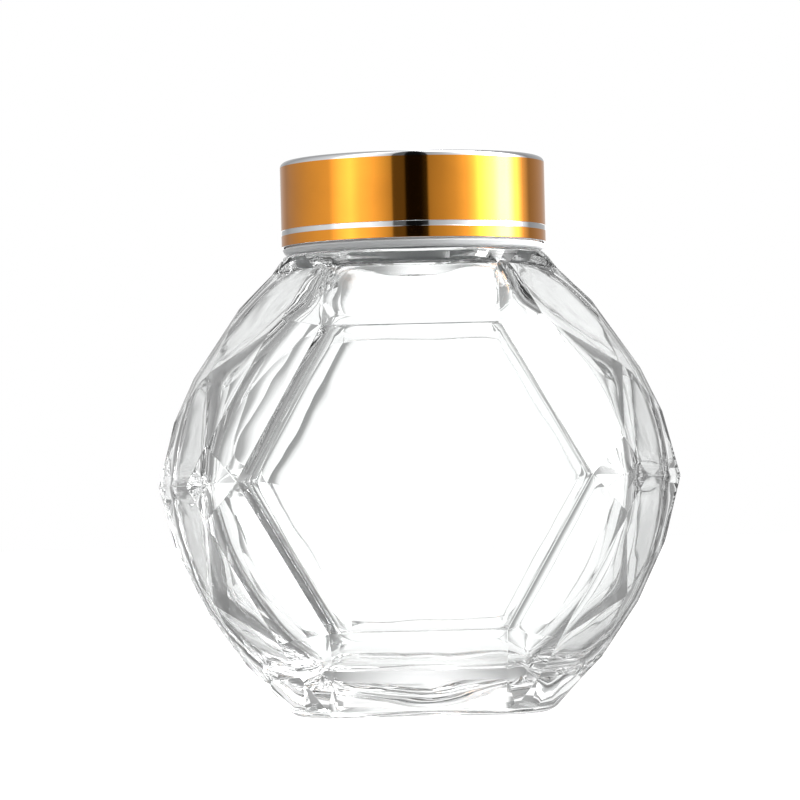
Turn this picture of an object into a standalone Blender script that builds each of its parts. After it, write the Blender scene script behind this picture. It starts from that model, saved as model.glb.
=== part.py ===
"""Hexagonal gem-cut glass honey jar, empty and closed: a clear body with a flat six-sided window front and
back, a faceted rim, a short shoulder collar, a foot and a round neck, and a gold metal screw cap lined with
a pale plastic insert.

X is to the right, -Y is the front and Z is up. The jar stands on Z = 0 and the neck's axis is X = Y = 0.
Lengths are millimetres until the points are written.
"""

import math

import bmesh
import bpy
from mathutils import Matrix, Vector

MM = 0.001

# Overall
HEIGHT = 93.0
DEPTH = 64.0
BODY_MIDDLE_Z = 39.15

# Window and the flats round it
WINDOW_CIRCUMRADIUS = 28.85
SIDE_FLAT_TILT = 43.2
END_FLAT_TILT = 49.1
CORNER_KITE_TILT = 53.5
RIM_WEDGE_TILT = 61.3
RIM_WEDGE_REACH = 32.81
RIM_WEDGE_DEPTH = 24.65

# Faceted rim
RIM_KITE_TILT = 71.85
RIM_KITE_TURN = 12.6
RIM_KITE_REACH = 42.67
GIRDLE_TIP_TILT = 73.6
GIRDLE_TIP_TURN = 15.5
GIRDLE_TIP_REACH = 42.62
GIRDLE_SIDE_TILT = 78.6
GIRDLE_SIDE_TURN = 4.5
GIRDLE_SIDE_REACH = 41.88
RIM_DROP = 0.4
UPPER_DRAW_IN = 0.45
EDGE_ROUND = 0.4

# Shoulder collar and foot: flat fronts, backs and sides with rounded corners between them
COLLAR_START_Z = 74.2
SHOULDER_Z = 76.9
COLLAR_HALF_DEPTH = 20.4
COLLAR_FRONT_HALF = 9.0
COLLAR_HALF_WIDTH = 22.0
COLLAR_SIDE_HALF = 1.0
FOOT_TOP_Z = 6.0
FOOT_HALF_DEPTH = 20.0
FOOT_FRONT_HALF = 13.5
FOOT_HALF_WIDTH = 21.6
FOOT_SIDE_HALF = 6.0
CORNER_STEPS = 5
SHOULDER_ROUND = 0.5
FOOT_ROUND = 1.2

# Neck and mouth
NECK_RADIUS = 20.1
NECK_TOP_Z = 90.85
NECK_LIP_ROUND = 0.9
MOUTH_RADIUS = 17.6

# Cavity
WINDOW_WALL = 2.8
END_WALL = 1.8
RIM_WALL = 2.4
FLOOR_WALL = 5.8
FLOOR_DISH = 2.4
FLOOR_DISH_REACH_X = 10.0
FLOOR_DISH_REACH_Y = 14.0
SHOULDER_WALL = 1.9
CAVITY_RIM_RADIUS = 39.5
CAVITY_CRISPNESS = 80.0
FLOOR_CRISPNESS = 14.0
CAVITY_STEPS = 72

# Cap shell of gold metal with a bright-cut stripe and a bright-cut top edge
CAP_RADIUS = 22.3
CAP_BOTTOM_Z = 78.55
CAP_METAL = 0.35
CAP_TOP_ROUND = 1.0
CAP_HEM_ROUND = 0.12
STRIPE_LOW_Z = 80.45
STRIPE_HIGH_Z = 81.35
STRIPE_CUT = 0.08
ROUND_STEPS = 80

# Plastic insert: a liner cup whose rounded flange shows under the metal
INSERT_GAP = 0.3
INSERT_WALL = 1.1
INSERT_DISC = 1.2
FLANGE_RADIUS = 22.1
FLANGE_BOTTOM_Z = 77.2
FLANGE_BOTTOM_ROUND = 0.7
FLANGE_TOP_Z = 78.25


def direction(turn, tilt):
    """Outward direction of a front facet: turned about the window's axis and tilted away from it."""
    turn, tilt = math.radians(turn), math.radians(tilt)
    return Vector((math.cos(turn) * math.sin(tilt), -math.cos(tilt), math.sin(turn) * math.sin(tilt)))


def flat(turn, tilt, reach, depth=0.0):
    """(normal, distance) of the flat that lies REACH from the axis of the windows at DEPTH before the middle."""
    across, along = math.sin(math.radians(tilt)), math.cos(math.radians(tilt))
    return direction(turn, tilt), reach * across + depth * along


def window_flats(inset=0.0, end_inset=0.0):
    """The six flats along the sides of the window; END_INSET is for the upper and the lower one."""
    apothem = WINDOW_CIRCUMRADIUS * math.cos(math.pi / 6)
    found = []
    for side in range(6):
        end = side in (1, 4)
        normal, distance = flat(30 + 60 * side, END_FLAT_TILT if end else SIDE_FLAT_TILT, apothem, DEPTH / 2)
        found.append((normal, distance - (end_inset if end else inset)))
    return found


def corner_kites():
    return [flat(60 * corner, CORNER_KITE_TILT, WINDOW_CIRCUMRADIUS, DEPTH / 2) for corner in range(6)]


def rim_flats(inset=0.0):
    """Wedges and kites of the rim, with the narrow girdle facets when nothing is taken off them."""
    found = []
    for side in (0, 2, 3, 5):
        middle = 30 + 60 * side
        found.append(flat(middle, RIM_WEDGE_TILT, RIM_WEDGE_REACH, RIM_WEDGE_DEPTH))
        for hand in (-1, 1):
            found.append(flat(middle + hand * RIM_KITE_TURN, RIM_KITE_TILT, RIM_KITE_REACH))
            if inset == 0.0:
                found.append(flat(middle + hand * GIRDLE_TIP_TURN, GIRDLE_TIP_TILT, GIRDLE_TIP_REACH))
                found.append(flat(middle + hand * GIRDLE_SIDE_TURN, GIRDLE_SIDE_TILT, GIRDLE_SIDE_REACH))
    return [
        (normal, distance - inset - RIM_DROP * normal.z - (UPPER_DRAW_IN if normal.z > 0.5 else 0.0))
        for normal, distance in found
    ]


def both_halves(flats):
    return flats + [(Vector((n.x, -n.y, n.z)), distance) for n, distance in flats]


def slice_off(bm, point, normal):
    """Removes what lies past the plane and closes the cut with one face."""
    cut = bmesh.ops.bisect_plane(
        bm,
        geom=bm.verts[:] + bm.edges[:] + bm.faces[:],
        plane_co=point,
        plane_no=normal,
        clear_outer=True,
        dist=1e-5,
    )
    edges = [item for item in cut["geom_cut"] if isinstance(item, bmesh.types.BMEdge)]
    if edges:
        bmesh.ops.contextual_create(bm, geom=edges)


def section(bm, z):
    return [v.co.copy() for v in bm.verts if abs(v.co.z - z) < 1e-3]


def block_outline(z, front_half, half_depth, half_width, side_half):
    """Outline at Z: a flat front and back, flat sides and rounded corners between them."""
    quarter = [
        (
            front_half + (half_width - front_half) * math.sin(math.pi / 2 * i / CORNER_STEPS),
            side_half + (half_depth - side_half) * math.cos(math.pi / 2 * i / CORNER_STEPS),
        )
        for i in range(CORNER_STEPS + 1)
    ]
    return [Vector((sx * x, sy * y, z)) for x, y in quarter for sx in (-1, 1) for sy in (-1, 1)]


def drop_face_at(bm, z):
    bmesh.ops.delete(
        bm,
        geom=[f for f in bm.faces if all(abs(v.co.z - z) < 1e-3 for v in f.verts)],
        context="FACES_ONLY",
    )


def add_block(bm, joined_z, points):
    """Hull from the body's section at JOINED_Z to POINTS, open where it meets the body."""
    block = bmesh.new()
    for co in section(bm, joined_z) + points:
        block.verts.new(co)
    bmesh.ops.convex_hull(block, input=block.verts)
    bmesh.ops.dissolve_limit(block, angle_limit=math.radians(0.2), verts=block.verts, edges=block.edges)
    bmesh.ops.delete(block, geom=[v for v in block.verts if not v.link_faces], context="VERTS")
    drop_face_at(block, joined_z)
    mesh = bpy.data.meshes.new("block")
    block.to_mesh(mesh)
    block.free()
    bm.from_mesh(mesh)
    bpy.data.meshes.remove(mesh)


def level_edges(bm, z):
    return [e for e in bm.edges if all(abs(v.co.z - z) < 1e-3 for v in e.verts)]


def bevel(bm, edges, offset, segments):
    bmesh.ops.bevel(
        bm,
        geom=edges,
        offset=offset,
        offset_type="OFFSET",
        segments=segments,
        profile=0.5,
        affect="EDGES",
        clamp_overlap=True,
        material=-1,
    )


def gem_body():
    middle = Vector((0, 0, BODY_MIDDLE_Z))
    bm = bmesh.new()
    bmesh.ops.create_cube(bm, size=4 * HEIGHT, matrix=Matrix.Translation(middle))
    cuts = [(Vector((0, -1, 0)), DEPTH / 2)] + window_flats() + corner_kites() + rim_flats()
    for normal, distance in both_halves(cuts):
        slice_off(bm, middle + normal * distance, normal)
    slice_off(bm, Vector((0, 0, COLLAR_START_Z)), Vector((0, 0, 1)))
    slice_off(bm, Vector((0, 0, FOOT_TOP_Z)), Vector((0, 0, -1)))
    bmesh.ops.remove_doubles(bm, verts=bm.verts, dist=0.06)
    drop_face_at(bm, COLLAR_START_Z)
    drop_face_at(bm, FOOT_TOP_Z)
    add_block(
        bm,
        COLLAR_START_Z,
        block_outline(SHOULDER_Z, COLLAR_FRONT_HALF, COLLAR_HALF_DEPTH, COLLAR_HALF_WIDTH, COLLAR_SIDE_HALF),
    )
    add_block(
        bm,
        FOOT_TOP_Z,
        block_outline(0.0, FOOT_FRONT_HALF, FOOT_HALF_DEPTH, FOOT_HALF_WIDTH, FOOT_SIDE_HALF),
    )
    bmesh.ops.remove_doubles(bm, verts=bm.verts, dist=0.02)
    bmesh.ops.recalc_face_normals(bm, faces=bm.faces)
    between = [
        e
        for e in bm.edges
        if e.calc_face_angle(0.0) > math.radians(4)
        and min(v.co.z for v in e.verts) < COLLAR_START_Z - 0.1
        and max(v.co.z for v in e.verts) > FOOT_TOP_Z + 0.1
    ]
    bevel(bm, between, EDGE_ROUND, 2)
    bevel(bm, level_edges(bm, SHOULDER_Z), SHOULDER_ROUND, 2)
    bevel(bm, level_edges(bm, 0.0), FOOT_ROUND, 3)
    return bm


def soft_meeting(heading, flats):
    """Sum that grows past one where HEADING leaves the rounded meeting of FLATS."""
    total = 0.0
    for normal, distance in flats:
        facing = normal.dot(heading)
        if facing > 0:
            total += (facing / distance) ** CAVITY_CRISPNESS
    return total


def window_edge_angle(turn, radius, half_depth):
    """Angle from the axis of the windows to the inner window's edge at TURN."""
    apart = (math.degrees(turn) % 60) - 30
    return math.atan2(radius * math.cos(math.pi / 6) / math.cos(math.radians(apart)), half_depth)


def dished_depth(heading, floor_depth):
    """Depth of the inner floor towards HEADING: level, with a shallow dish in the middle."""
    if heading.z > -0.3:
        return floor_depth
    across = (floor_depth * heading.x / heading.z / FLOOR_DISH_REACH_X) ** 2
    along = (floor_depth * heading.y / heading.z / FLOOR_DISH_REACH_Y) ** 2
    return floor_depth + FLOOR_DISH * math.exp(-across - along)


def cavity():
    """Inside of the body: a ball whose rings follow the inner window's edge, drawn in to the inner walls."""
    flats = both_halves(window_flats(WINDOW_WALL, END_WALL) + rim_flats(RIM_WALL))
    flats.append((Vector((0, 0, 1)), SHOULDER_Z - SHOULDER_WALL - BODY_MIDDLE_Z))
    floor_depth = BODY_MIDDLE_Z - FLOOR_WALL
    half = DEPTH / 2 - WINDOW_WALL
    tuck = WINDOW_WALL * math.tan(math.radians(SIDE_FLAT_TILT / 2)) / math.cos(math.pi / 6)
    radius = WINDOW_CIRCUMRADIUS - tuck
    front = [(share, 0.0) for share in (0.5, 0.9, 0.98, 1.0)]
    front += [(1.0, share) for share in (0.02, 0.06)]
    front += [(1.0, 0.06 + 0.94 * i / 9) for i in range(1, 10)]
    bm = bmesh.new()
    rings = []
    for side, steps in ((1, front), (-1, front[-2::-1])):
        for inside, outside in steps:
            ring = []
            for j in range(CAVITY_STEPS):
                turn = 2 * math.pi * j / CAVITY_STEPS
                to_edge = window_edge_angle(turn, radius, half)
                away = inside * to_edge + outside * (math.pi / 2 - to_edge)
                across = math.sin(away)
                heading = Vector(
                    (math.cos(turn) * across, -side * math.cos(away), math.sin(turn) * across)
                )
                total = soft_meeting(heading, flats)
                total += (math.hypot(heading.x, heading.z) / CAVITY_RIM_RADIUS) ** CAVITY_CRISPNESS
                floor = (max(0.0, -heading.z) / dished_depth(heading, floor_depth)) ** FLOOR_CRISPNESS
                total = (total ** (FLOOR_CRISPNESS / CAVITY_CRISPNESS) + floor) ** (1 / FLOOR_CRISPNESS)
                window = max(0.0, -heading.y * side) / half
                reach = (total**CAVITY_CRISPNESS + window**CAVITY_CRISPNESS) ** (-1 / CAVITY_CRISPNESS)
                ring.append(bm.verts.new(heading * reach + Vector((0, 0, BODY_MIDDLE_Z))))
            rings.append(ring)
    for near, far in zip(rings, rings[1:]):
        for j in range(CAVITY_STEPS):
            k = (j + 1) % CAVITY_STEPS
            bm.faces.new((near[j], near[k], far[k], far[j]))
    for ring, side in ((rings[0], -1), (rings[-1], 1)):
        pole = bm.verts.new((0, side * half, BODY_MIDDLE_Z))
        for j in range(CAVITY_STEPS):
            bm.faces.new((pole, ring[j], ring[(j + 1) % CAVITY_STEPS]))
    bmesh.ops.recalc_face_normals(bm, faces=bm.faces)
    return bm


def arc(centre_r, centre_z, radius, start, stop, steps):
    """Points of a quarter round in the profile, from START to STOP degrees."""
    return [
        (
            centre_r + radius * math.cos(math.radians(start + (stop - start) * i / steps)),
            centre_z + radius * math.sin(math.radians(start + (stop - start) * i / steps)),
        )
        for i in range(steps + 1)
    ]


def turned(profile, closed=True):
    """Solid of revolution about Z of (radius, z) points. An open profile starts and ends on the axis."""
    bm = bmesh.new()
    verts = [bm.verts.new((r, 0, z)) for r, z in profile]
    edges = [bm.edges.new(pair) for pair in zip(verts, verts[1:])]
    if closed:
        edges.append(bm.edges.new((verts[-1], verts[0])))
    bmesh.ops.spin(
        bm,
        geom=verts + edges,
        cent=(0, 0, 0),
        axis=(0, 0, 1),
        angle=2 * math.pi,
        steps=ROUND_STEPS,
        use_merge=True,
    )
    bmesh.ops.remove_doubles(bm, verts=bm.verts, dist=1e-4)
    bmesh.ops.recalc_face_normals(bm, faces=bm.faces)
    return bm


def neck():
    lip = NECK_LIP_ROUND
    profile = [(0, SHOULDER_Z - 0.9), (NECK_RADIUS, SHOULDER_Z - 0.9)]
    profile += arc(NECK_RADIUS - lip, NECK_TOP_Z - lip, lip, 0, 90, 4)
    profile += [(0, NECK_TOP_Z)]
    return turned(profile, closed=False)


def mouth():
    low = SHOULDER_Z - SHOULDER_WALL - 5.0
    return turned([(0, low), (MOUTH_RADIUS, low), (MOUTH_RADIUS, HEIGHT), (0, HEIGHT)], closed=False)


def cap_shell():
    top, metal = CAP_TOP_ROUND, CAP_METAL
    inner = CAP_RADIUS - metal
    hem = CAP_HEM_ROUND
    profile = [(inner, CAP_BOTTOM_Z)]
    profile += arc(CAP_RADIUS - hem, CAP_BOTTOM_Z + hem, hem, -90, 0, 3)
    cut = CAP_RADIUS - STRIPE_CUT
    profile += [
        (CAP_RADIUS, STRIPE_LOW_Z),
        (cut, STRIPE_LOW_Z + STRIPE_CUT),
        (cut, STRIPE_HIGH_Z - STRIPE_CUT),
        (CAP_RADIUS, STRIPE_HIGH_Z),
    ]
    profile += arc(CAP_RADIUS - top, HEIGHT - top, top, 0, 90, 6)
    profile += [(0, HEIGHT), (0, HEIGHT - metal)]
    profile += arc(inner - (top - metal), HEIGHT - top, top - metal, 90, 0, 4)
    return turned(profile)


def cap_insert():
    outer = CAP_RADIUS - CAP_METAL - INSERT_GAP
    inner = outer - INSERT_WALL
    top = HEIGHT - CAP_METAL - INSERT_GAP
    turn_in = FLANGE_BOTTOM_ROUND
    profile = [(inner, FLANGE_BOTTOM_Z)]
    profile += arc(FLANGE_RADIUS - 0.2 - turn_in, FLANGE_BOTTOM_Z + turn_in, turn_in, -90, -20, 4)
    profile += [
        (FLANGE_RADIUS, FLANGE_TOP_Z - 0.15),
        (FLANGE_RADIUS - 0.05, FLANGE_TOP_Z),
        (outer, FLANGE_TOP_Z),
        (outer, top - 0.5),
        (outer - 0.5, top),
        (0, top),
        (0, top - INSERT_DISC),
        (inner - 0.6, top - INSERT_DISC),
        (inner, top - INSERT_DISC - 0.6),
    ]
    return turned(profile)


def piece(name, bm, helper=False):
    """An object with BM's shape, brought from millimetres to metres."""
    bmesh.ops.scale(bm, vec=(MM, MM, MM), verts=bm.verts)
    mesh = bpy.data.meshes.new(name)
    bm.to_mesh(mesh)
    bm.free()
    obj = bpy.data.objects.new(name, mesh)
    bpy.context.scene.collection.objects.link(obj)
    if helper:
        obj.hide_render = True
        obj.display_type = "WIRE"
    return obj


def combine(target, other, operation):
    modifier = target.modifiers.new(f"{operation.lower()}_{other.name}", "BOOLEAN")
    modifier.operation = operation
    modifier.solver = "EXACT"
    modifier.object = other


def shade(obj, material, angle):
    obj.data.materials.append(material)
    obj.data.shade_smooth()
    obj.data.set_sharp_from_angle(angle=math.radians(angle))


def material(name, colour, metallic=0.0, roughness=0.3, transmission=0.0, ior=1.5):
    made = bpy.data.materials.new(name)
    made.use_nodes = True
    shader = made.node_tree.nodes["Principled BSDF"]
    shader.inputs["Base Color"].default_value = (*colour, 1.0)
    shader.inputs["Metallic"].default_value = metallic
    shader.inputs["Roughness"].default_value = roughness
    shader.inputs["Transmission Weight"].default_value = transmission
    shader.inputs["IOR"].default_value = ior
    made.diffuse_color = (*colour, 1.0)
    return made


def main():
    for obj in list(bpy.data.objects):
        bpy.data.objects.remove(obj)

    glass = material("clear_glass", (0.96, 0.98, 0.97), roughness=0.02, transmission=1.0, ior=1.52)
    gold = material("gold_anodised_aluminium", (0.90, 0.47, 0.09), metallic=1.0, roughness=0.15)
    plastic = material("pale_plastic", (0.86, 0.87, 0.86), roughness=0.35)

    jar = piece("glass_jar", gem_body())
    combine(jar, piece("neck_block", neck(), helper=True), "UNION")
    combine(jar, piece("cavity_block", cavity(), helper=True), "DIFFERENCE")
    combine(jar, piece("mouth_block", mouth(), helper=True), "DIFFERENCE")
    shade(jar, glass, 12)

    shell = piece("cap_shell", cap_shell())
    shade(shell, gold, 30)

    insert = piece("cap_insert", cap_insert())
    shade(insert, plastic, 30)


main()
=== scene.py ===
"""Hexagonal gem-cut honey jar in clear glass with a gold screw cap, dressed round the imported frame.

X is to the right, -Y is the front and Z is up. The jar stands on Z = 0. Settings are in metres. The makers
and the values before them are in millimetres and degrees where nothing else is said, and a finished piece is
brought to metres.
"""

import math

import bmesh
import bpy
from bpy.props import FloatProperty, FloatVectorProperty, IntProperty, PointerProperty
from mathutils import Matrix, Vector


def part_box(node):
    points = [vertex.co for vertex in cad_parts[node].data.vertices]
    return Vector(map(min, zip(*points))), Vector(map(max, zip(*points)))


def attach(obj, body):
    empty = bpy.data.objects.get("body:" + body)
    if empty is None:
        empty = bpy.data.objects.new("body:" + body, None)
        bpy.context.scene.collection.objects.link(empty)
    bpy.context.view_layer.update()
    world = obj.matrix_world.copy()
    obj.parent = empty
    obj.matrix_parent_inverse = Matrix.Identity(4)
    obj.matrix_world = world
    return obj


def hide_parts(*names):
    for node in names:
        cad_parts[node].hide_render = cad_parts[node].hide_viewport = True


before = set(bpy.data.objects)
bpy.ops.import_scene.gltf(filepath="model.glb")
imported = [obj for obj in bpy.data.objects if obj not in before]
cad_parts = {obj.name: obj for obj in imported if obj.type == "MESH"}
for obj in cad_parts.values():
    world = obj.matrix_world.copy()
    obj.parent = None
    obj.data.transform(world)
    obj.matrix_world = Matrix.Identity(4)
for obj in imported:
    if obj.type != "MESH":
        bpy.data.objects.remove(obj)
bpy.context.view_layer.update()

bl_info = {
    "name": "Hexagonal honey jar",
    "version": (1, 0, 0),
    "blender": (4, 5, 0),
    "location": "View3D > Sidebar > Honey jar",
    "description": "Builds a gem-cut glass honey jar with a gold screw cap",
    "category": "Object",
}

MM = 0.001
SHELL_LOW, SHELL_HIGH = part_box("cap_shell")
INSERT_LOW, INSERT_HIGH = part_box("cap_insert")
JAR_LOW, JAR_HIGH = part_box("glass_jar")

# Flats and kites round the window, tilted from the axis of the windows
SIDE_FLAT_TILT = 43.2
END_FLAT_TILT = 49.1
CORNER_KITE_TILT = 53.5

# Rim: reaches and depths are from the middle of the body, and a turn is from the middle of a side
RIM_WEDGE_TILT = 61.3
RIM_WEDGE_REACH = 32.81
RIM_WEDGE_DEPTH = 24.65
RIM_KITE_TILT = 71.85
RIM_KITE_TURN = 12.6
RIM_KITE_REACH = 42.67
GIRDLE_TIP_TILT = 73.6
GIRDLE_TIP_TURN = 15.5
GIRDLE_TIP_REACH = 42.62
GIRDLE_SIDE_TILT = 78.6
GIRDLE_SIDE_TURN = 4.5
GIRDLE_SIDE_REACH = 41.88
RIM_DROP = 0.4
UPPER_DRAW_IN = 0.45

# Body: the blank that the facets are cut from, the shortest edges kept, the shallowest edge rounded and how
# far past the collar and the foot it has to reach; what stays within FLAT_WITHIN is one flat, and what stays
# within LEVEL_WITHIN of a height lies on it
BLANK_SIZE = 400
SHORTEST_FACET_EDGE = 0.06
SHORTEST_BLOCK_EDGE = 0.02
SHALLOWEST_ROUNDED_EDGE = 4
CLEAR_OF_BLOCKS = 0.1
FLAT_WITHIN = 0.2
LEVEL_WITHIN = 1e-3

# Shoulder collar and foot
COLLAR_START_Z = 74.2
SHOULDER_Z = 76.9
COLLAR_FRONT_HALF = 9.0
COLLAR_HALF_DEPTH = 20.4
COLLAR_HALF_WIDTH = 22.0
COLLAR_SIDE_HALF = 1.0
FOOT_TOP_Z = 6.0
FOOT_FRONT_HALF = 13.5
FOOT_HALF_DEPTH = 20.0
FOOT_HALF_WIDTH = 21.6
FOOT_SIDE_HALF = 6.0
CORNER_STEPS = 6

# Neck and mouth
NECK_LOW_Z = 76.0
NECK_RADIUS = 20.1
NECK_TOP_Z = 90.85
NECK_LIP_ROUND = 0.9
MOUTH_RADIUS = 17.6
MOUTH_LOW_RADIUS = 18.2
MOUTH_LOW_Z = 70.0
MOUTH_WIDENS_Z = 74.4
MOUTH_ROUND = 1.2
MOUTH_ROUND_Z = 75.6
MOUTH_HIGH_Z = 94.0
NECK_STEPS = 192

# Hollow: a higher crispness makes a sharper meeting of its walls, and EDGE_RING goes to the windows' edge
HOLLOW_SHIFT_X = 0.9
SHOULDER_WALL = 1.9
FLOOR_DISH = 2.4
FLOOR_DISH_REACH_X = 10.0
FLOOR_DISH_REACH_Y = 14.0
FLOOR_DISH_HEADING_Z = -0.3
SIDE_CRISPNESS = 100
RIM_CRISPNESS = 70
RING_CRISPNESS = 90
FLOOR_CRISPNESS = 16
WINDOW_CRISPNESS = 110
HOLLOW_STEPS = 240
EDGE_RING = 40.0
EDGE_RING_REACH = 5
RING_STEP = 1.6
FINE_RING_STEP = 0.6

# Cap shell
CAP_TOP_ROUND = 1.0
CAP_HEM_ROUND = 0.15
STRIPE_CUT = 0.08
STRIPE_SLOPE = 0.06
BRIGHT_HEM = 0.1

# Plastic insert, with a flange that leans in to its rounded lower edge and steps back over its upper one
INSERT_GAP = 0.3
INSERT_WALL = 1.1
INSERT_DISC = 1.2
INSERT_CORNER = 0.5
INSERT_INNER_CORNER = 0.6
FLANGE_RADIUS = 22.1
FLANGE_LEAN = 0.2
FLANGE_ROUND = 0.7
FLANGE_GAP = 0.3
FLANGE_CHAMFER = 0.15
FLANGE_CHAMFER_IN = 0.05
FLANGE_STEP = 0.1

# Uneven surfaces: the range of the noise that takes up the whole spread of tone and gloss
LOWEST_BLOTCH = 0.3
HIGHEST_BLOTCH = 0.7

# Tent: how far round to the right of the front, and the level of the light that comes from there; light that
# has passed through the glass meets the level to the power of 1 + EXTRA_CONTRAST_THROUGH_GLASS
TENT_LEVELS = (
    (-180, 1.3),
    (-175, 1.15),
    (-168, 0.55),
    (-142, 0.34),
    (-76, 0.75),
    (-65, 1.5),
    (-54, 2.0),
    (-45, 1.4),
    (-36, 1.15),
    (-16.6, 0.49),
    (-15.6, 0.1),
    (-5.5, 0.1),
    (-4.5, 0.004),
    (9.5, 0.004),
    (10.5, 0.02),
    (14.2, 0.02),
    (15.4, 0.36),
    (27.7, 0.5),
    (38.6, 0.72),
    (49.8, 1.15),
    (56, 1.8),
    (64, 3.6),
    (76, 8.5),
    (83, 15.0),
    (92, 15.0),
    (101, 3.6),
    (112.5, 0.9),
    (122.6, 0.28),
    (151, 0.42),
    (168, 0.55),
    (175, 1.15),
    (180, 1.3),
)
EXTRA_CONTRAST_THROUGH_GLASS = 0.35

# Table: painted light glows in a wedge of it behind the jar, and the painted shade beside and before
# the wedge starts and ends at these values of Y + WEDGE_SLANT * |X|, in metres
TABLE_HALF_SIZE = 6000
TABLE_DROP = 0.05
TABLE_PAINT_SHARE = 0.1
WEDGE_SLANT = -3.2
WEDGE_PAINTED_SHADE_STARTS = -0.015
WEDGE_PAINTED_SHADE_ENDS = -0.09
TABLE_PAINTED_SHADE_GLOW = 0.14
TABLE_PAINTED_LIGHT_GLOW = 1.0

# Light: how often it may pass through glass and be reflected before it is left out
PASSES_THROUGH_GLASS = 40
REFLECTIONS = 18

# Camera: the square picture's pixels, how many of them a metre at the jar's axis takes, and the pixel where
# the point of the axis AIM_HEIGHT metres above the table stands
PICTURE_PIXELS = 800
PIXELS_PER_METRE = 5930
AIM_HEIGHT = 0.040
AIM_PIXEL_X = 419.2
AIM_PIXEL_Y = 474.2
SENSOR_WIDTH = 36


# ---------------------------------------------------------------------------------------------- settings


class GlassSettings(bpy.types.PropertyGroup):
    """Sizes and colour of the glass jar, in metres."""

    depth: FloatProperty(
        name="Depth",
        description="Distance between the front and the back window",
        default=JAR_HIGH.y - JAR_LOW.y,
        unit="LENGTH",
    )
    middle_height: FloatProperty(
        name="Middle height",
        description="Height of the middle of the windows above the table",
        default=0.03915,
        unit="LENGTH",
    )
    window_radius: FloatProperty(
        name="Window radius",
        description="Distance from the middle of a window to one of its six corners",
        default=0.02885,
        unit="LENGTH",
    )
    wall: FloatProperty(
        name="Wall",
        description="Thickness of the glass in the windows and the flats round them",
        default=0.0028,
        unit="LENGTH",
    )
    end_wall: FloatProperty(
        name="End wall",
        description="Thickness of the glass in the flats over and under the windows",
        default=0.0018,
        unit="LENGTH",
    )
    rim_wall: FloatProperty(
        name="Rim wall",
        description="Thickness of the glass behind the facets of the rim",
        default=0.0024,
        unit="LENGTH",
    )
    floor_wall: FloatProperty(
        name="Floor",
        description="Thickness of the glass over the foot",
        default=0.0058,
        unit="LENGTH",
    )
    rim_radius: FloatProperty(
        name="Inner rim radius",
        description="Greatest inner radius about the axis of the windows",
        default=0.0395,
        unit="LENGTH",
    )
    edge_round: FloatProperty(
        name="Edge rounding",
        description="How far the fire-polished rounding of a facet's edge reaches into the facet",
        default=0.0009,
        unit="LENGTH",
    )
    shoulder_round: FloatProperty(
        name="Shoulder rounding",
        description="Radius of the round along the shoulder's edge",
        default=0.0005,
        unit="LENGTH",
    )
    foot_round: FloatProperty(
        name="Foot rounding",
        description="Radius of the round along the foot's lower edge",
        default=0.0012,
        unit="LENGTH",
    )
    colour: FloatVectorProperty(
        name="Glass colour",
        description="Colour of light that has passed through the glass",
        default=(0.978, 0.986, 0.984),
        size=3,
        min=0.0,
        max=1.0,
        subtype="COLOR",
    )


class CapSettings(bpy.types.PropertyGroup):
    """Sizes and colours of the cap, in metres."""

    radius: FloatProperty(
        name="Radius",
        description="Outer radius of the metal shell",
        default=SHELL_HIGH.x,
        unit="LENGTH",
    )
    metal: FloatProperty(
        name="Metal",
        description="Thickness of the metal shell",
        default=0.00035,
        unit="LENGTH",
    )
    hem_height: FloatProperty(
        name="Hem height",
        description="Height of the metal shell's lower edge above the table",
        default=SHELL_LOW.z,
        unit="LENGTH",
    )
    stripe_height: FloatProperty(
        name="Stripe height",
        description="Height of the bright-cut stripe's lower edge above the shell's hem",
        default=0.0019,
        unit="LENGTH",
    )
    stripe_width: FloatProperty(
        name="Stripe width",
        description="Width of the bright-cut stripe",
        default=0.0009,
        unit="LENGTH",
    )
    turn_steps: IntProperty(
        name="Turning steps",
        description="Number of steps round the cap",
        default=192,
        min=24,
        max=360,
    )
    gold: FloatVectorProperty(
        name="Gold",
        description="Colour of the anodised metal",
        default=(0.98, 0.36, 0.028),
        size=3,
        min=0.0,
        max=1.0,
        subtype="COLOR",
    )
    bright_cut: FloatVectorProperty(
        name="Bright cut",
        description="Colour of the bare metal of the stripe and the top edge",
        default=(0.90, 0.91, 0.93),
        size=3,
        min=0.0,
        max=1.0,
        subtype="COLOR",
    )
    insert: FloatVectorProperty(
        name="Insert",
        description="Colour of the plastic insert",
        default=(0.94, 0.95, 0.96),
        size=3,
        min=0.0,
        max=1.0,
        subtype="COLOR",
    )


class StageSettings(bpy.types.PropertyGroup):
    """Floor, light and camera."""

    floor_colour: FloatVectorProperty(
        name="Floor colour",
        description="Colour of the table",
        default=(0.9, 0.9, 0.9),
        size=3,
        min=0.0,
        max=1.0,
        subtype="COLOR",
    )
    tent_light: FloatProperty(
        name="Tent light",
        description="Strength of the white tent round the table",
        default=1.0,
        min=0.0,
    )
    camera_distance: FloatProperty(
        name="Camera distance",
        description="Distance of the camera from the jar's axis",
        default=0.750,
        unit="LENGTH",
    )
    camera_height: FloatProperty(
        name="Camera height",
        description="Height of the camera above the table",
        default=0.032,
        unit="LENGTH",
    )
    camera_turn: FloatProperty(
        name="Camera turn",
        description="How far the camera stands to the right of the jar's front",
        default=math.radians(1.4),
        subtype="ANGLE",
    )
    camera_roll: FloatProperty(
        name="Camera roll",
        description="How far the camera is rolled about its line of sight",
        default=math.radians(1.35),
        subtype="ANGLE",
    )


# ---------------------------------------------------------------------------------------------- shaping


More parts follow.
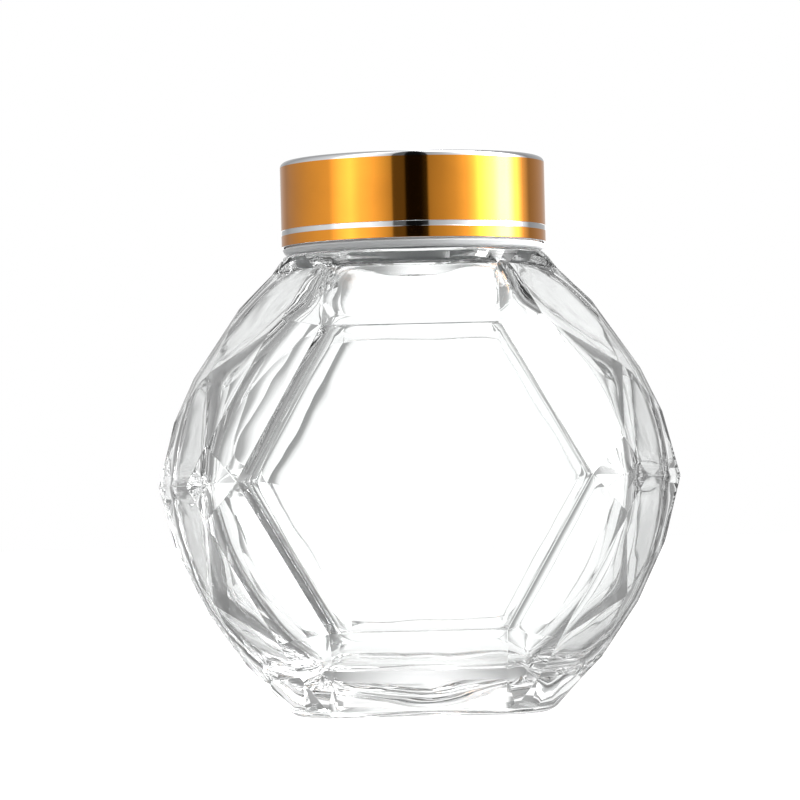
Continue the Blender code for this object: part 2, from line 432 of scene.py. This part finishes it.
def facet(turn, tilt, reach, depth=0.0, inset=0.0):
    """Facet of the front half that lies REACH from the axis of the windows at DEPTH before the middle."""
    turn, tilt = math.radians(turn), math.radians(tilt)
    normal = Vector((math.cos(turn) * math.sin(tilt), -math.cos(tilt), math.sin(turn) * math.sin(tilt)))
    return normal, reach * math.sin(tilt) + depth * math.cos(tilt) - inset


def window_flats(radius, half_depth, inset=0.0, ends_inset=0.0):
    """The six flats along the sides of the window; ENDS_INSET is for the upper and lower one."""
    apothem = radius * math.cos(math.pi / 6)
    found = []
    for side in range(6):
        end = side in (1, 4)
        tilt = END_FLAT_TILT if end else SIDE_FLAT_TILT
        found.append(facet(30 + 60 * side, tilt, apothem, half_depth, ends_inset if end else inset))
    return found


def corner_kites(radius, half_depth):
    """The six kites at the corners of the window."""
    return [facet(60 * corner, CORNER_KITE_TILT, radius, half_depth) for corner in range(6)]


def rim_facets(inset=0.0):
    """The four wedges beside the side flats and the eight kites, with the girdle facets where INSET is 0."""
    found = []
    for side in (0, 2, 3, 5):
        middle = 30 + 60 * side
        found.append(facet(middle, RIM_WEDGE_TILT, RIM_WEDGE_REACH, RIM_WEDGE_DEPTH, inset))
        for hand in (-1, 1):
            found.append(facet(middle + hand * RIM_KITE_TURN, RIM_KITE_TILT, RIM_KITE_REACH, inset=inset))
            if inset == 0:
                found.append(facet(middle + hand * GIRDLE_TIP_TURN, GIRDLE_TIP_TILT, GIRDLE_TIP_REACH))
                found.append(facet(middle + hand * GIRDLE_SIDE_TURN, GIRDLE_SIDE_TILT, GIRDLE_SIDE_REACH))
    return [
        (normal, distance - RIM_DROP * normal.z - (UPPER_DRAW_IN if normal.z > 0.5 else 0.0))
        for normal, distance in found
    ]


def both_halves(facets):
    """FACETS of the front half, and the same ones of the back half."""
    return facets + [(Vector((n.x, -n.y, n.z)), distance) for n, distance in facets]


def slice_off(bm, point, normal):
    """Removes what lies past the plane and closes the cut with one face."""
    cut = bmesh.ops.bisect_plane(
        bm,
        geom=bm.verts[:] + bm.edges[:] + bm.faces[:],
        plane_co=point,
        plane_no=normal,
        clear_outer=True,
        dist=1e-5,
    )
    edges = [item for item in cut["geom_cut"] if isinstance(item, bmesh.types.BMEdge)]
    if edges:
        bmesh.ops.contextual_create(bm, geom=edges)


def level_parts(parts, z):
    """Those of PARTS, which are edges or faces, that lie level at Z."""
    return [part for part in parts if all(abs(v.co.z - z) < LEVEL_WITHIN for v in part.verts)]


def drop_face_at(bm, z):
    bmesh.ops.delete(bm, geom=level_parts(bm.faces, z), context="FACES_ONLY")


def block_corners(z, front_half, half_depth, half_width, side_half):
    """Outline at Z: a flat front and back, flat sides and rounded corners between them."""
    step = 90 / CORNER_STEPS
    quarter = [
        (
            front_half + (half_width - front_half) * math.sin(math.radians(step * i)),
            side_half + (half_depth - side_half) * math.cos(math.radians(step * i)),
        )
        for i in range(CORNER_STEPS + 1)
    ]
    return [Vector((sx * x, sy * y, z)) for x, y in quarter for sx in (-1, 1) for sy in (-1, 1)]


def add_block(bm, joined_z, corners):
    """Hull from the body's section at JOINED_Z to CORNERS, open where it meets the body."""
    flat = math.radians(FLAT_WITHIN)
    block = bmesh.new()
    for co in [v.co.copy() for v in bm.verts if abs(v.co.z - joined_z) < LEVEL_WITHIN] + corners:
        block.verts.new(co)
    bmesh.ops.convex_hull(block, input=block.verts)
    bmesh.ops.dissolve_limit(block, angle_limit=flat, verts=block.verts, edges=block.edges)
    bmesh.ops.delete(block, geom=[v for v in block.verts if not v.link_faces], context="VERTS")
    drop_face_at(block, joined_z)
    mesh = bpy.data.meshes.new("block")
    block.to_mesh(mesh)
    block.free()
    bm.from_mesh(mesh)
    bpy.data.meshes.remove(mesh)


def bevel(bm, edges, offset, segments):
    bmesh.ops.bevel(
        bm,
        geom=edges,
        offset=offset,
        offset_type="OFFSET",
        segments=segments,
        profile=0.5,
        affect="EDGES",
        clamp_overlap=True,
        material=-1,
    )


def round_edges(bm, glass):
    """Fire-polished edges: between the facets, and along the shoulder and the foot."""
    between = [
        e
        for e in bm.edges
        if e.calc_face_angle(0.0) > math.radians(SHALLOWEST_ROUNDED_EDGE)
        and min(v.co.z for v in e.verts) < COLLAR_START_Z - CLEAR_OF_BLOCKS
        and max(v.co.z for v in e.verts) > FOOT_TOP_Z + CLEAR_OF_BLOCKS
    ]
    bevel(bm, between, glass.edge_round / MM, 3)
    bevel(bm, level_parts(bm.edges, SHOULDER_Z), glass.shoulder_round / MM, 4)
    bevel(bm, level_parts(bm.edges, 0.0), glass.foot_round / MM, 6)


def gem_body(glass):
    """Outside of the jar's body, with its shoulder collar and its foot."""
    half = glass.depth / MM / 2
    middle = Vector((0, 0, glass.middle_height / MM))
    bm = bmesh.new()
    bmesh.ops.create_cube(bm, size=BLANK_SIZE, matrix=Matrix.Translation(middle))
    radius = glass.window_radius / MM
    window = (Vector((0, -1, 0)), half)
    cuts = [window] + window_flats(radius, half) + corner_kites(radius, half) + rim_facets()
    for normal, distance in both_halves(cuts):
        slice_off(bm, middle + normal * distance, normal)
    slice_off(bm, Vector((0, 0, COLLAR_START_Z)), Vector((0, 0, 1)))
    slice_off(bm, Vector((0, 0, FOOT_TOP_Z)), Vector((0, 0, -1)))
    bmesh.ops.remove_doubles(bm, verts=bm.verts, dist=SHORTEST_FACET_EDGE)
    drop_face_at(bm, COLLAR_START_Z)
    drop_face_at(bm, FOOT_TOP_Z)
    add_block(
        bm,
        COLLAR_START_Z,
        block_corners(SHOULDER_Z, COLLAR_FRONT_HALF, COLLAR_HALF_DEPTH, COLLAR_HALF_WIDTH, COLLAR_SIDE_HALF),
    )
    add_block(
        bm,
        FOOT_TOP_Z,
        block_corners(0.0, FOOT_FRONT_HALF, FOOT_HALF_DEPTH, FOOT_HALF_WIDTH, FOOT_SIDE_HALF),
    )
    bmesh.ops.remove_doubles(bm, verts=bm.verts, dist=SHORTEST_BLOCK_EDGE)
    bmesh.ops.recalc_face_normals(bm, faces=bm.faces)
    round_edges(bm, glass)
    return bm


def soft_meeting(heading, facets, crispness):
    """One over the distance towards HEADING of the rounded meeting of FACETS."""
    total = 0.0
    for normal, distance in facets:
        facing = normal.dot(heading)
        if facing > 0:
            total += (facing / distance) ** crispness
    return total ** (1 / crispness)


def window_edge_angle(turn, radius, half_depth):
    """Angle from the axis of the windows to the window's edge at TURN."""
    apart = (math.degrees(turn) % 60) - 30
    reach = radius * math.cos(math.pi / 6) / math.cos(math.radians(apart))
    return math.atan2(reach, half_depth)


def dished_depth(heading, floor_depth):
    """Depth of the inner floor towards HEADING: level, with a shallow dish in the middle."""
    if heading.z > FLOOR_DISH_HEADING_Z:
        return floor_depth
    across = (floor_depth * heading.x / heading.z / FLOOR_DISH_REACH_X) ** 2
    along = (floor_depth * heading.y / heading.z / FLOOR_DISH_REACH_Y) ** 2
    return floor_depth + FLOOR_DISH * math.exp(-across - along)


def ring_angles():
    """Angles of the ball's rings from the axis of the windows, closer together round EDGE_RING."""
    edge = math.radians(EDGE_RING)
    rings = []
    angle = 0.0
    while angle < math.pi / 2 - 1e-6:
        rings.append(angle)
        near = abs(angle - edge)
        angle += math.radians(FINE_RING_STEP if near < math.radians(EDGE_RING_REACH) else RING_STEP)
    rings.append(math.pi / 2)
    return rings + [math.pi - angle for angle in reversed(rings[:-1])]


def walls_met(first, second, crispness):
    """One over the distance of two walls' rounded meeting, from one over each wall's own distance."""
    return (first**crispness + second**crispness) ** (1 / crispness)


def hollow(glass):
    """Inside of the body: a turned ball whose rings follow the window's edge, drawn out to the walls."""
    half = glass.depth / MM / 2
    wall = glass.wall / MM
    radius = glass.window_radius / MM
    middle_z = glass.middle_height / MM
    sides = both_halves(window_flats(radius, half, wall, glass.end_wall / MM))
    rim = both_halves(rim_facets(glass.rim_wall / MM))
    ceiling = [(Vector((0, 0, 1)), SHOULDER_Z - SHOULDER_WALL - middle_z)]
    floor_depth = middle_z - glass.floor_wall / MM
    ring_radius = glass.rim_radius / MM
    inner_radius = radius - wall * math.tan(math.radians(SIDE_FLAT_TILT / 2)) / math.cos(math.pi / 6)
    edge = math.radians(EDGE_RING)

    bm = bmesh.new()
    verts = [bm.verts.new((math.sin(angle), -math.cos(angle), 0)) for angle in ring_angles()]
    edges = [bm.edges.new(pair) for pair in zip(verts, verts[1:])]
    bmesh.ops.spin(
        bm,
        geom=verts + edges,
        cent=(0, 0, 0),
        axis=(0, 1, 0),
        angle=2 * math.pi,
        steps=HOLLOW_STEPS,
        use_merge=True,
    )
    bmesh.ops.remove_doubles(bm, verts=bm.verts, dist=1e-6)
    bmesh.ops.recalc_face_normals(bm, faces=bm.faces)
    for vert in bm.verts:
        turn = math.atan2(vert.co.z, vert.co.x)
        away = math.acos(max(-1.0, min(1.0, -vert.co.y)))
        side = 1 if away <= math.pi / 2 else -1
        away = away if side > 0 else math.pi - away
        to_edge = window_edge_angle(turn, inner_radius, half - wall)
        if away < edge:
            away = away / edge * to_edge
        else:
            share = (away - edge) / (math.pi / 2 - edge)
            away = to_edge + share * (math.pi / 2 - to_edge)
        across = math.sin(away)
        heading = Vector((math.cos(turn) * across, -side * math.cos(away), math.sin(turn) * across))
        window = max(0.0, -heading.y * side) / (half - wall)
        met = (
            soft_meeting(heading, sides + ceiling, SIDE_CRISPNESS),
            soft_meeting(heading, rim, RIM_CRISPNESS),
            math.hypot(heading.x, heading.z) / ring_radius,
        )
        around = sum(part**RING_CRISPNESS for part in met) ** (1 / RING_CRISPNESS)
        floor = max(0.0, -heading.z) / dished_depth(heading, floor_depth)
        around = walls_met(around, floor, FLOOR_CRISPNESS)
        total = walls_met(window, around, WINDOW_CRISPNESS)
        vert.co = heading / total + Vector((HOLLOW_SHIFT_X, 0, middle_z))
    return bm


def arc(centre_r, centre_z, radius, start, stop, steps):
    """Points of a round in a turned profile, from START to STOP degrees."""
    return [
        (
            centre_r + radius * math.cos(math.radians(start + (stop - start) * i / steps)),
            centre_z + radius * math.sin(math.radians(start + (stop - start) * i / steps)),
        )
        for i in range(steps + 1)
    ]


def turned(profile, steps, closed=True):
    """Solid turned about Z from (radius, z) points. An open profile starts and ends on the axis."""
    bm = bmesh.new()
    verts = [bm.verts.new((r, 0, z)) for r, z in profile]
    edges = [bm.edges.new(pair) for pair in zip(verts, verts[1:])]
    if closed:
        edges.append(bm.edges.new((verts[-1], verts[0])))
    bmesh.ops.spin(
        bm,
        geom=verts + edges,
        cent=(0, 0, 0),
        axis=(0, 0, 1),
        angle=2 * math.pi,
        steps=steps,
        use_merge=True,
    )
    bmesh.ops.remove_doubles(bm, verts=bm.verts, dist=1e-4)
    bmesh.ops.recalc_face_normals(bm, faces=bm.faces)
    return bm


def neck_block():
    """Round neck, from inside the shoulder up to its lip."""
    lip = NECK_LIP_ROUND
    profile = [(0, NECK_LOW_Z), (NECK_RADIUS, NECK_LOW_Z)]
    profile += arc(NECK_RADIUS - lip, NECK_TOP_Z - lip, lip, 0, 90, 6)
    profile += [(0, NECK_TOP_Z)]
    return turned(profile, NECK_STEPS, closed=False)


def mouth_block():
    """Way in through the neck, a little wider and rounded where it meets the hollow."""
    profile = [(0, MOUTH_LOW_Z), (MOUTH_LOW_RADIUS, MOUTH_LOW_Z), (MOUTH_LOW_RADIUS, MOUTH_WIDENS_Z)]
    profile += arc(MOUTH_RADIUS + MOUTH_ROUND, MOUTH_ROUND_Z, MOUTH_ROUND, 240, 180, 5)
    profile += [(MOUTH_RADIUS, MOUTH_HIGH_Z), (0, MOUTH_HIGH_Z)]
    return turned(profile, NECK_STEPS, closed=False)


def made_object(name, bm):
    """An object with BM's shape, brought from millimetres to metres, standing at the origin."""
    bmesh.ops.scale(bm, vec=(MM, MM, MM), verts=bm.verts)
    mesh = bpy.data.meshes.new(name)
    bm.to_mesh(mesh)
    bm.free()
    obj = bpy.data.objects.new(name, mesh)
    bpy.context.scene.collection.objects.link(obj)
    return obj


def cut_or_join(target, other, operation):
    """Cuts OTHER from TARGET or joins it to it, with a live modifier."""
    modifier = target.modifiers.new(operation.lower(), "BOOLEAN")
    modifier.operation = operation
    modifier.solver = "EXACT"
    modifier.object = other


def settle(obj, helpers):
    """Keeps the shape that OBJ's modifiers give and removes the helpers they used."""
    graph = bpy.context.evaluated_depsgraph_get()
    mesh = bpy.data.meshes.new_from_object(obj.evaluated_get(graph))
    old = obj.data
    obj.modifiers.clear()
    obj.data = mesh
    bpy.data.meshes.remove(old)
    mesh.name = obj.name
    for helper in helpers:
        bpy.data.objects.remove(helper)


def soften(obj, angle):
    """Smooth shading up to ANGLE degrees, with flat areas kept flat."""
    obj.data.shade_smooth()
    obj.data.set_sharp_from_angle(angle=math.radians(angle))
    modifier = obj.modifiers.new("flat_normals", "WEIGHTED_NORMAL")
    modifier.mode = "FACE_AREA"
    modifier.weight = 50
    modifier.keep_sharp = True


# ---------------------------------------------------------------------------------------------- materials


def math_node(tree, operation, *values):
    """Math node of TREE; each of VALUES is a number or the socket it comes from."""
    node = tree.nodes.new("ShaderNodeMath")
    node.operation = operation
    for socket, value in zip(node.inputs, values):
        if isinstance(value, bpy.types.NodeSocket):
            tree.links.new(value, socket)
        else:
            socket.default_value = value
    return node.outputs[0]


def surface_group():
    """Shared effect: faint blotches of tone and gloss, and a height for shallow waves."""
    found = bpy.data.node_groups.get("uneven_surface")
    if found:
        return found
    group = bpy.data.node_groups.new("uneven_surface", "ShaderNodeTree")
    sockets = (
        ("Color", "INPUT", "NodeSocketColor"),
        ("Roughness", "INPUT", "NodeSocketFloat"),
        ("Scale", "INPUT", "NodeSocketFloat"),
        ("Detail", "INPUT", "NodeSocketFloat"),
        ("Spread", "INPUT", "NodeSocketFloat"),
        ("Color", "OUTPUT", "NodeSocketColor"),
        ("Roughness", "OUTPUT", "NodeSocketFloat"),
        ("Height", "OUTPUT", "NodeSocketFloat"),
    )
    for name, way, kind in sockets:
        group.interface.new_socket(name=name, in_out=way, socket_type=kind)
    given = group.nodes.new("NodeGroupInput")
    result = group.nodes.new("NodeGroupOutput")
    place = group.nodes.new("ShaderNodeTexCoord")
    blotches = group.nodes.new("ShaderNodeTexNoise")
    factor = group.nodes.new("ShaderNodeMapRange")
    factor.inputs["From Min"].default_value = LOWEST_BLOTCH
    factor.inputs["From Max"].default_value = HIGHEST_BLOTCH
    tone = group.nodes.new("ShaderNodeVectorMath")
    tone.operation = "SCALE"
    gloss = math_node(group, "MULTIPLY", given.outputs["Roughness"], factor.outputs[0])
    links = (
        (place.outputs["Object"], blotches.inputs["Vector"]),
        (given.outputs["Scale"], blotches.inputs["Scale"]),
        (given.outputs["Detail"], blotches.inputs["Detail"]),
        (blotches.outputs[0], factor.inputs["Value"]),
        (math_node(group, "SUBTRACT", 1.0, given.outputs["Spread"]), factor.inputs["To Min"]),
        (math_node(group, "ADD", 1.0, given.outputs["Spread"]), factor.inputs["To Max"]),
        (given.outputs["Color"], tone.inputs[0]),
        (factor.outputs[0], tone.inputs["Scale"]),
        (tone.outputs[0], result.inputs["Color"]),
        (gloss, result.inputs["Roughness"]),
        (blotches.outputs[0], result.inputs["Height"]),
    )
    for start, end in links:
        group.links.new(start, end)
    return group


def uneven_material(name, colour, roughness, scale, detail, spread, wave):
    """Material with faintly uneven tone and gloss, and waves WAVE metres deep."""
    material = bpy.data.materials.new(name)
    material.use_nodes = True
    tree = material.node_tree
    shader = tree.nodes["Principled BSDF"]
    effect = tree.nodes.new("ShaderNodeGroup")
    effect.node_tree = surface_group()
    effect.inputs["Color"].default_value = (*colour, 1)
    effect.inputs["Roughness"].default_value = roughness
    effect.inputs["Scale"].default_value = scale
    effect.inputs["Detail"].default_value = detail
    effect.inputs["Spread"].default_value = spread
    bump = tree.nodes.new("ShaderNodeBump")
    bump.inputs["Strength"].default_value = 1.0
    bump.inputs["Distance"].default_value = wave
    tree.links.new(effect.outputs["Color"], shader.inputs["Base Color"])
    tree.links.new(effect.outputs["Roughness"], shader.inputs["Roughness"])
    tree.links.new(effect.outputs["Height"], bump.inputs["Height"])
    tree.links.new(bump.outputs[0], shader.inputs["Normal"])
    return material, shader


def glass_material(colour):
    """Clear pressed glass with the shallow waves of its mould."""
    material, shader = uneven_material(
        "clear_glass", colour, roughness=0.0, scale=90, detail=1.0, spread=0.004, wave=0.0002
    )
    shader.inputs["IOR"].default_value = 1.52
    shader.inputs["Transmission Weight"].default_value = 1.0
    return material


def metal_material(name, colour, roughness, coat):
    """Polished metal whose gloss varies a little, under a thin clear coat."""
    material, shader = uneven_material(
        name, colour, roughness=roughness, scale=120, detail=4.0, spread=0.06, wave=0.000004
    )
    shader.inputs["Metallic"].default_value = 1.0
    shader.inputs["Coat Weight"].default_value = coat
    shader.inputs["Coat Roughness"].default_value = 0.04
    return material


def plastic_material(colour):
    """Pale, faintly see-through plastic."""
    material, shader = uneven_material(
        "pale_plastic", colour, roughness=0.3, scale=200, detail=3.0, spread=0.03, wave=0.00001
    )
    shader.inputs["Transmission Weight"].default_value = 0.1
    return material


# ---------------------------------------------------------------------------------------------- pieces


class HONEYJAR_OT_glass(bpy.types.Operator):
    """Build the gem-cut glass jar"""

    bl_idname = "honeyjar.glass"
    bl_label = "Glass jar"

    def execute(self, context):
        glass = context.scene.honeyjar_glass
        jar = made_object("gem_cut_glass", gem_body(glass))
        helpers = [
            made_object("neck_block", neck_block()),
            made_object("hollow_block", hollow(glass)),
            made_object("mouth_block", mouth_block()),
        ]
        for helper, operation in zip(helpers, ("UNION", "DIFFERENCE", "DIFFERENCE")):
            cut_or_join(jar, helper, operation)
        settle(jar, helpers)
        jar.data.materials.clear()
        jar.data.materials.append(glass_material(glass.colour))
        soften(jar, 30)
        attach(jar, "root")
        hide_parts("glass_jar")
        return {"FINISHED"}


class HONEYJAR_OT_cap_shell(bpy.types.Operator):
    """Build the gold metal shell of the cap with its bright-cut stripe and top edge"""

    bl_idname = "honeyjar.cap_shell"
    bl_label = "Cap shell"

    def execute(self, context):
        cap = context.scene.honeyjar_cap
        outer = cap.radius / MM
        metal = cap.metal / MM
        low = cap.hem_height / MM
        high = SHELL_HIGH.z / MM
        inner = outer - metal
        stripe_low = low + cap.stripe_height / MM
        stripe_high = stripe_low + cap.stripe_width / MM
        cut = outer - STRIPE_CUT
        top, hem = CAP_TOP_ROUND, CAP_HEM_ROUND
        profile = [(inner, low)]
        profile += arc(outer - hem, low + hem, hem, -90, 0, 4)
        profile += [
            (outer, stripe_low),
            (cut, stripe_low + STRIPE_SLOPE),
            (cut, stripe_high - STRIPE_SLOPE),
            (outer, stripe_high),
        ]
        profile += arc(outer - top, high - top, top, 0, 90, 10)
        profile += [(0, high), (0, high - metal)]
        profile += arc(inner - (top - metal), high - top, top - metal, 90, 0, 6)
        shell = made_object("gold_cap_shell", turned(profile, cap.turn_steps))
        shell.data.materials.append(metal_material("gold_anodised", cap.gold, roughness=0.08, coat=0.35))
        shell.data.materials.append(metal_material("bright_cut", cap.bright_cut, roughness=0.06, coat=0.0))
        for face in shell.data.polygons:
            z = face.center.z / MM
            across = math.hypot(face.center.x, face.center.y) / MM
            in_stripe = stripe_low < z < stripe_high
            on_edge = z > high - top and across > outer - top
            if in_stripe or on_edge or z < low + BRIGHT_HEM:
                face.material_index = 1
        soften(shell, 30)
        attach(shell, "root")
        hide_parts("cap_shell")
        return {"FINISHED"}


class HONEYJAR_OT_cap_insert(bpy.types.Operator):
    """Build the pale plastic insert whose flange shows under the metal"""

    bl_idname = "honeyjar.cap_insert"
    bl_label = "Cap insert"

    def execute(self, context):
        cap = context.scene.honeyjar_cap
        outer = (cap.radius - cap.metal) / MM - INSERT_GAP
        inner = outer - INSERT_WALL
        low = INSERT_LOW.z / MM
        high = INSERT_HIGH.z / MM
        flange_top = cap.hem_height / MM - FLANGE_GAP
        under_disc = high - INSERT_DISC
        turn_in = FLANGE_ROUND
        profile = [(inner, low)]
        profile += arc(FLANGE_RADIUS - FLANGE_LEAN - turn_in, low + turn_in, turn_in, -90, -20, 6)
        profile += [
            (FLANGE_RADIUS, flange_top - FLANGE_CHAMFER),
            (FLANGE_RADIUS - FLANGE_CHAMFER_IN, flange_top),
            (outer, flange_top + FLANGE_STEP),
            (outer, high - INSERT_CORNER),
            (outer - INSERT_CORNER, high),
            (0, high),
            (0, under_disc),
            (inner - INSERT_INNER_CORNER, under_disc),
            (inner, under_disc - INSERT_INNER_CORNER),
        ]
        insert = made_object("plastic_cap_insert", turned(profile, cap.turn_steps))
        insert.data.materials.append(plastic_material(cap.insert))
        soften(insert, 30)
        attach(insert, "root")
        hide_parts("cap_insert")
        return {"FINISHED"}


def tent_world(strength):
    """White tent round the table: bright at both sides, with a dark gap where the camera looks in.

    The camera itself sees plain white, and light that has passed through the glass sees the tent with more
    contrast.
    """
    world = bpy.data.worlds.new("light_tent")
    world.use_nodes = True
    tree = world.node_tree
    tree.nodes.clear()
    output = tree.nodes.new("ShaderNodeOutputWorld")
    background = tree.nodes.new("ShaderNodeBackground")
    background.inputs["Strength"].default_value = strength
    seen = tree.nodes.new("ShaderNodeBackground")
    seen.inputs["Color"].default_value = (1, 1, 1, 1)
    mix = tree.nodes.new("ShaderNodeMixShader")
    path = tree.nodes.new("ShaderNodeLightPath")
    place = tree.nodes.new("ShaderNodeTexCoord")
    parts = tree.nodes.new("ShaderNodeSeparateXYZ")
    tree.links.new(place.outputs["Generated"], parts.inputs[0])
    away = math_node(tree, "MULTIPLY", parts.outputs["Y"], -1.0)
    turn = math_node(tree, "ARCTAN2", parts.outputs["X"], away)
    share = tree.nodes.new("ShaderNodeMapRange")
    share.inputs["From Min"].default_value = -math.pi
    share.inputs["From Max"].default_value = math.pi
    tree.links.new(turn, share.inputs["Value"])
    ramp = tree.nodes.new("ShaderNodeValToRGB")
    tree.links.new(share.outputs[0], ramp.inputs["Fac"])
    elements = ramp.color_ramp.elements
    for angle, level in TENT_LEVELS[1:-1]:
        elements.new((angle + 180) / 360).color = (level, level, level, 1)
    for stop, (angle, level) in ((elements[0], TENT_LEVELS[0]), (elements[-1], TENT_LEVELS[-1])):
        stop.position = (angle + 180) / 360
        stop.color = (level, level, level, 1)
    through = path.outputs["Is Transmission Ray"]
    contrast = math_node(tree, "MULTIPLY_ADD", through, EXTRA_CONTRAST_THROUGH_GLASS, 1.0)
    light = math_node(tree, "POWER", ramp.outputs["Color"], contrast)
    tree.links.new(light, background.inputs["Color"])
    tree.links.new(path.outputs["Is Camera Ray"], mix.inputs[0])
    tree.links.new(background.outputs[0], mix.inputs[1])
    tree.links.new(seen.outputs[0], mix.inputs[2])
    tree.links.new(mix.outputs[0], output.inputs["Surface"])
    return world


def floor_material(colour):
    """Pale table that looks white from the camera.

    To other light it glows with painted light: white in a wedge behind the jar, and dimmer beside and
    before it as painted shade.
    """
    material = bpy.data.materials.new("pale_table")
    material.use_nodes = True
    tree = material.node_tree
    shader = tree.nodes["Principled BSDF"]
    shader.inputs["Base Color"].default_value = (*[TABLE_PAINT_SHARE * c for c in colour], 1)
    shader.inputs["Roughness"].default_value = 0.6
    shader.inputs["Specular IOR Level"].default_value = 0.1
    shader.inputs["Emission Color"].default_value = (1, 1, 1, 1)
    path = tree.nodes.new("ShaderNodeLightPath")
    place = tree.nodes.new("ShaderNodeTexCoord")
    parts = tree.nodes.new("ShaderNodeSeparateXYZ")
    tree.links.new(place.outputs["Object"], parts.inputs[0])
    aside = math_node(tree, "ABSOLUTE", parts.outputs["X"])
    behind = math_node(tree, "MULTIPLY_ADD", aside, WEDGE_SLANT, parts.outputs["Y"])
    # Painted light and shade: the table's glow is brightest in the wedge behind the jar and dims beside and
    # before it
    glow = tree.nodes.new("ShaderNodeMapRange")
    glow.interpolation_type = "SMOOTHSTEP"
    glow.inputs["From Min"].default_value = WEDGE_PAINTED_SHADE_ENDS
    glow.inputs["From Max"].default_value = WEDGE_PAINTED_SHADE_STARTS
    glow.inputs["To Min"].default_value = TABLE_PAINTED_SHADE_GLOW
    glow.inputs["To Max"].default_value = TABLE_PAINTED_LIGHT_GLOW
    tree.links.new(behind, glow.inputs["Value"])
    whiter = math_node(tree, "MAXIMUM", path.outputs["Is Camera Ray"], glow.outputs[0])
    tree.links.new(whiter, shader.inputs["Emission Strength"])
    return material


class HONEYJAR_OT_stage(bpy.types.Operator):
    """Lay the floor, light it and place the camera"""

    bl_idname = "honeyjar.stage"
    bl_label = "Stage"

    def execute(self, context):
        stage = context.scene.honeyjar_stage
        scene = context.scene
        bm = bmesh.new()
        bmesh.ops.create_grid(bm, x_segments=1, y_segments=1, size=TABLE_HALF_SIZE)
        bmesh.ops.translate(bm, vec=(0, 0, -TABLE_DROP), verts=bm.verts)
        floor = made_object("table", bm)
        floor.data.materials.append(floor_material(stage.floor_colour))

        scene.world = tent_world(stage.tent_light)
        scene.view_settings.view_transform = "Standard"
        scene.cycles.max_bounces = PASSES_THROUGH_GLASS
        scene.cycles.transmission_bounces = PASSES_THROUGH_GLASS
        scene.cycles.glossy_bounces = REFLECTIONS
        scene.cycles.caustics_refractive = True
        scene.cycles.caustics_reflective = True

        camera = bpy.data.objects.new("camera", bpy.data.cameras.new("camera"))
        scene.collection.objects.link(camera)
        lens = camera.data
        distance = stage.camera_distance
        focal = PIXELS_PER_METRE * distance
        lens.sensor_width = SENSOR_WIDTH
        lens.lens = focal * SENSOR_WIDTH / PICTURE_PIXELS
        lens.clip_start = 0.01
        lens.clip_end = 100
        turn, roll = stage.camera_turn, stage.camera_roll
        spot = Vector((distance * math.sin(turn), -distance * math.cos(turn), stage.camera_height))
        ahead = Vector((-math.sin(turn), math.cos(turn), 0))
        right = Vector((math.cos(turn), math.sin(turn), 0))
        up = Vector((0, 0, 1))
        rolled_right = right * math.cos(roll) - up * math.sin(roll)
        rolled_up = up * math.cos(roll) + right * math.sin(roll)
        pose = Matrix((rolled_right, rolled_up, -ahead)).transposed().to_4x4()
        pose.translation = spot
        camera.matrix_world = pose
        aim = pose.inverted() @ Vector((0, 0, AIM_HEIGHT))
        half = PICTURE_PIXELS / 2
        lens.shift_x = (half + focal * aim.x / -aim.z - AIM_PIXEL_X) / PICTURE_PIXELS
        lens.shift_y = (AIM_PIXEL_Y - half + focal * aim.y / -aim.z) / PICTURE_PIXELS
        scene.camera = camera
        return {"FINISHED"}


class HONEYJAR_PT_panel(bpy.types.Panel):
    """The honey jar's pieces"""

    bl_idname = "HONEYJAR_PT_panel"
    bl_label = "Honey jar"
    bl_space_type = "VIEW_3D"
    bl_region_type = "UI"
    bl_category = "Honey jar"

    def draw(self, context):
        for operator in OPERATORS:
            self.layout.operator(operator.bl_idname)
        for group, title in SETTINGS:
            box = self.layout.box()
            box.label(text=title)
            settings = getattr(context.scene, group)
            for name in settings.__annotations__:
                box.prop(settings, name)


OPERATORS = (HONEYJAR_OT_glass, HONEYJAR_OT_cap_shell, HONEYJAR_OT_cap_insert, HONEYJAR_OT_stage)
SETTINGS = (("honeyjar_glass", "Glass"), ("honeyjar_cap", "Cap"), ("honeyjar_stage", "Stage"))
CLASSES = (GlassSettings, CapSettings, StageSettings, *OPERATORS, HONEYJAR_PT_panel)


def register():
    for made in CLASSES:
        bpy.utils.register_class(made)
    bpy.types.Scene.honeyjar_glass = PointerProperty(type=GlassSettings)
    bpy.types.Scene.honeyjar_cap = PointerProperty(type=CapSettings)
    bpy.types.Scene.honeyjar_stage = PointerProperty(type=StageSettings)


def unregister():
    del bpy.types.Scene.honeyjar_stage
    del bpy.types.Scene.honeyjar_cap
    del bpy.types.Scene.honeyjar_glass
    for made in reversed(CLASSES):
        bpy.utils.unregister_class(made)


def main():
    register()
    bpy.ops.honeyjar.glass()
    bpy.ops.honeyjar.cap_shell()
    bpy.ops.honeyjar.cap_insert()
    bpy.ops.honeyjar.stage()


if __name__ == "__main__":
    main()
